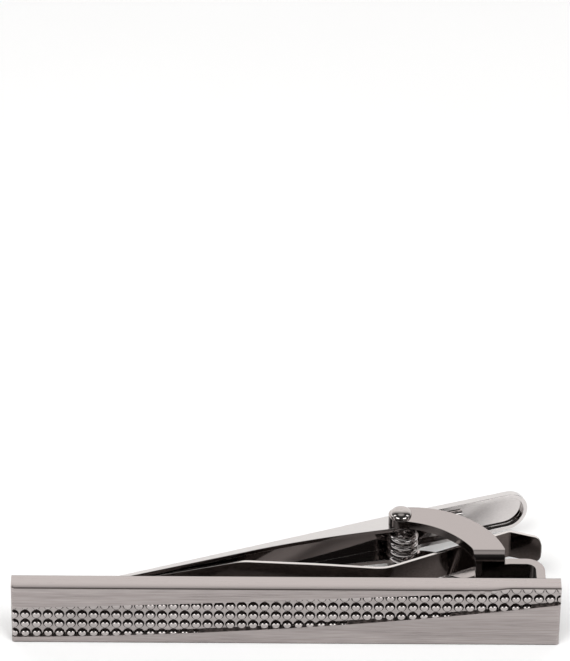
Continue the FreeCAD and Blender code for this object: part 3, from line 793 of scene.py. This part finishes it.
def face_group():
    """Group that marks faces by the way they point.

    Level marks what faces up or down, Crown the same more weakly, Eased the edges between the level
    and the upright, and Inside what faces forward to the left of the pivot. The metals use these marks
    to paint light and shade onto faces by the way they point.
    """
    labels = ("Level", "Crown", "Eased", "Inside")
    tree, _, target = node_tree("face_marks", [], [(label, "NodeSocketFloat") for label in labels])
    place = tree.nodes.new("ShaderNodeTexCoord")
    facing = tree.nodes.new("ShaderNodeSeparateXYZ")
    spot = tree.nodes.new("ShaderNodeSeparateXYZ")
    tree.links.new(place.outputs["Normal"], facing.inputs["Vector"])
    tree.links.new(place.outputs["Object"], spot.inputs["Vector"])
    level = calculated(tree, "ABSOLUTE", facing.outputs["Z"])
    slope = calculated(tree, "ABSOLUTE", calculated(tree, "MULTIPLY", facing.outputs["Y"], level))
    forward = stepped(tree, facing.outputs["Y"], FORWARD_FACING)
    left = stepped(tree, spot.outputs["X"], [(PIVOT.x + reach) * MM for reach in INSIDE_REACH])
    tree.links.new(stepped(tree, level, LEVEL_FACING), target.inputs["Level"])
    tree.links.new(stepped(tree, level, LEVEL_FACING, top=CROWN_SHARE), target.inputs["Crown"])
    tree.links.new(stepped(tree, slope, EASED_SLOPE), target.inputs["Eased"])
    tree.links.new(calculated(tree, "MULTIPLY", forward, left), target.inputs["Inside"])
    return tree


def metal(name, group, dark, light, smooth, rough, bump):
    """Polished or brushed metal that takes its colour, roughness and bump from a group."""
    material = bpy.data.materials.new(name)
    material.use_nodes = True
    tree = material.node_tree
    shader = tree.nodes["Principled BSDF"]
    shader.inputs["Metallic"].default_value = 1.0
    worked = tree.nodes.new("ShaderNodeGroup")
    worked.node_tree = group
    worked.inputs["Dark"].default_value = (*dark, 1)
    worked.inputs["Light"].default_value = (*light, 1)
    worked.inputs["Smooth"].default_value = smooth
    worked.inputs["Rough"].default_value = rough
    relief = tree.nodes.new("ShaderNodeBump")
    relief.inputs["Strength"].default_value = bump
    relief.inputs["Distance"].default_value = RELIEF
    tree.links.new(worked.outputs["Colour"], shader.inputs["Base Color"])
    tree.links.new(worked.outputs["Roughness"], shader.inputs["Roughness"])
    tree.links.new(worked.outputs["Height"], relief.inputs["Height"])
    tree.links.new(relief.outputs["Normal"], shader.inputs["Normal"])
    return material


def tint(material, group, label, colour):
    """Let a metal's marked faces take another colour, which paints light and shade onto them by the way they
    point.
    """
    tree = material.node_tree
    base = tree.nodes["Principled BSDF"].inputs["Base Color"]
    marked = tree.nodes.new("ShaderNodeGroup")
    marked.node_tree = group
    mix = tree.nodes.new("ShaderNodeMix")
    mix.data_type = "RGBA"
    mix.inputs["B"].default_value = (*colour, 1)
    tree.links.new(marked.outputs[label], mix.inputs["Factor"])
    tree.links.new(base.links[0].from_socket, mix.inputs["A"])
    tree.links.new(mix.outputs["Result"], base)


def floor():
    """Wide white floor."""
    bm = bmesh.new()
    bmesh.ops.create_grid(bm, x_segments=1, y_segments=1, size=FLOOR_REACH)
    mesh = bpy.data.meshes.new("floor")
    bm.to_mesh(mesh)
    bm.free()
    plane = bpy.data.objects.new("floor", mesh)
    bpy.context.scene.collection.objects.link(plane)
    material = bpy.data.materials.new("pale_floor")
    material.use_nodes = True
    tree = material.node_tree
    shader = tree.nodes["Principled BSDF"]
    shader.inputs["Specular IOR Level"].default_value = 0.0
    shader.inputs["Roughness"].default_value = FLOOR_ROUGHNESS
    shade = tree.nodes.new("ShaderNodeMix")
    shade.data_type = "RGBA"
    for label, tone in zip("AB", FLOOR_TONES):
        shade.inputs[label].default_value = (tone, tone, tone, 1)
    tree.links.new(streaked_noise(tree, (FLOOR_GRAIN, FLOOR_GRAIN, FLOOR_GRAIN)), shade.inputs["Factor"])
    tree.links.new(shade.outputs["Result"], shader.inputs["Base Color"])
    mesh.materials.append(material)


def studio_world():
    """Soft surround: bright behind the clip, a weak glow overhead, dim on the camera's side."""
    world = bpy.data.worlds.new("studio")
    bpy.context.scene.world = world
    world.use_nodes = True
    tree = world.node_tree
    background = tree.nodes["Background"]
    place = tree.nodes.new("ShaderNodeTexCoord")
    way = tree.nodes.new("ShaderNodeSeparateXYZ")
    tree.links.new(place.outputs["Generated"], way.inputs["Vector"])
    behind = stepped(tree, way.outputs["Y"], SKY_EDGE, SKY_DIM, SKY_BRIGHT)
    overhead = stepped(tree, way.outputs["Z"], GLOW_EDGE, top=GLOW)
    tree.links.new(calculated(tree, "MAXIMUM", behind, overhead), background.inputs["Strength"])
    background.inputs["Color"].default_value = SKY_TINT


def softboxes(name, place, size, power, mirrored):
    """Pair of soft lamps aimed at the clip from left and right, seen or not seen in the metal."""
    for side, label in ((-1, "left"), (1, "right")):
        data = bpy.data.lights.new(f"{label}_{name}", "AREA")
        data.shape = "RECTANGLE"
        data.size, data.size_y = size
        data.energy = power
        lamp = bpy.data.objects.new(data.name, data)
        lamp.location = (side * place[0], place[1], place[2])
        lamp.rotation_mode = "QUATERNION"
        lamp.rotation_quaternion = (-lamp.location).to_track_quat("-Z", "Y")
        lamp.visible_glossy = mirrored
        bpy.context.scene.collection.objects.link(lamp)


def camera():
    """Long lens looking down on the bar's front, as in the photograph."""
    data = bpy.data.cameras.new("camera")
    data.lens = CAMERA_LENS
    data.sensor_width = CAMERA_SENSOR
    data.clip_start, data.clip_end = CAMERA_CLIP
    eye = bpy.data.objects.new("camera", data)
    turn = Matrix.Rotation(CAMERA_TURN, 4, "Z")
    tilt = Matrix.Rotation(QUARTER_TURN - CAMERA_DOWN, 4, "X")
    roll = Matrix.Rotation(CAMERA_ROLL, 4, "Z")
    eye.matrix_world = Matrix.Translation(Vector(CAMERA_PLACE) * MM) @ turn @ tilt @ roll
    bpy.context.scene.collection.objects.link(eye)
    bpy.context.scene.camera = eye


# Finishes of the pieces, with painted light and shade on faces marked by the way they point
brushed = metal_group("brushed_lines", BRUSHED_FINE, BRUSHED_BROAD)
polished = metal_group("polished_plate", POLISHED_FINE, POLISHED_BROAD)
marks = face_group()
bar_metal = metal("bar_metal", brushed, dark=(0.25, 0.222, 0.215), light=(0.46, 0.415, 0.405),
                  smooth=0.24, rough=0.38, bump=0.35)
# Painted light: the bar's faces that point up or down are painted lighter than its front.
tint(bar_metal, marks, "Crown", (0.61, 0.553, 0.542))
# Painted shade: the bar's eased edges and field step walls, between level and upright, are painted near
# black.
tint(bar_metal, marks, "Eased", (0.09, 0.076, 0.072))
field_metal = metal("field_metal", polished, dark=(0.29, 0.263, 0.255), light=(0.45, 0.414, 0.404),
                    smooth=0.08, rough=0.18, bump=0.08)
stud_metal = metal("stud_metal", polished, dark=(0.35, 0.32, 0.311), light=(0.51, 0.474, 0.464),
                   smooth=0.04, rough=0.10, bump=0.06)
# Painted shade: near-black metal for the studs' upper rims, the dark crescents round the domes.
stud_rim_shade_metal = metal("stud_rim_shade_metal", polished, dark=(0.016, 0.012, 0.011), light=(0.05, 0.042, 0.04),
                     smooth=0.14, rough=0.28, bump=0.10)
bracket_metal = metal("bracket_metal", polished, dark=(0.085, 0.073, 0.069), light=(0.13, 0.115, 0.11),
                      smooth=0.06, rough=0.14, bump=0.05)
# Painted light: the bracket's level faces are painted far lighter than its dark upright faces.
tint(bracket_metal, marks, "Level", (0.44, 0.40, 0.39))
lever_metal = metal("lever_metal", polished, dark=(0.63, 0.595, 0.585), light=(0.73, 0.695, 0.685),
                    smooth=0.05, rough=0.12, bump=0.05)
# Painted shade: the lever's level faces take a slightly darker, even tone.
tint(lever_metal, marks, "Level", (0.63, 0.61, 0.605))
# Painted shade: the channel's forward-facing inside, left of the pivot, is painted dark.
tint(lever_metal, marks, "Inside", (0.15, 0.127, 0.12))
leaf_metal = metal("leaf_metal", polished, dark=(0.08, 0.064, 0.059), light=(0.13, 0.108, 0.101),
                   smooth=0.06, rough=0.15, bump=0.05)
# Painted highlight: the leaf's level edges are painted bright against its dark faces.
tint(leaf_metal, marks, "Level", (0.69, 0.655, 0.64))
rivet_metal = metal("rivet_metal", polished, dark=(0.46, 0.427, 0.415), light=(0.60, 0.56, 0.55),
                    smooth=0.05, rough=0.12, bump=0.04)
spring_metal = metal("spring_metal", polished, dark=(0.58, 0.55, 0.54), light=(0.66, 0.63, 0.62),
                     smooth=0.13, rough=0.18, bump=0.01)

# Pieces of the clip
front_bar(bar_metal, field_metal)
studs(stud_metal, stud_rim_shade_metal)
bracket(bracket_metal)
hinge_rivet(rivet_metal)
lever(lever_metal)
grip_leaf(leaf_metal)
torsion_spring(spring_metal)

# Studio round the clip
floor()
studio_world()
softboxes("fill", FILL_LAMP_PLACE, FILL_LAMP_SIZE, FILL_LAMP_POWER, False)
softboxes("strip", SIDE_LAMP_PLACE, SIDE_LAMP_SIZE, SIDE_LAMP_POWER, True)
softboxes("low_strip", LOW_LAMP_PLACE, LOW_LAMP_SIZE, LOW_LAMP_POWER, True)
camera()
bpy.context.scene.view_settings.view_transform = "Standard"
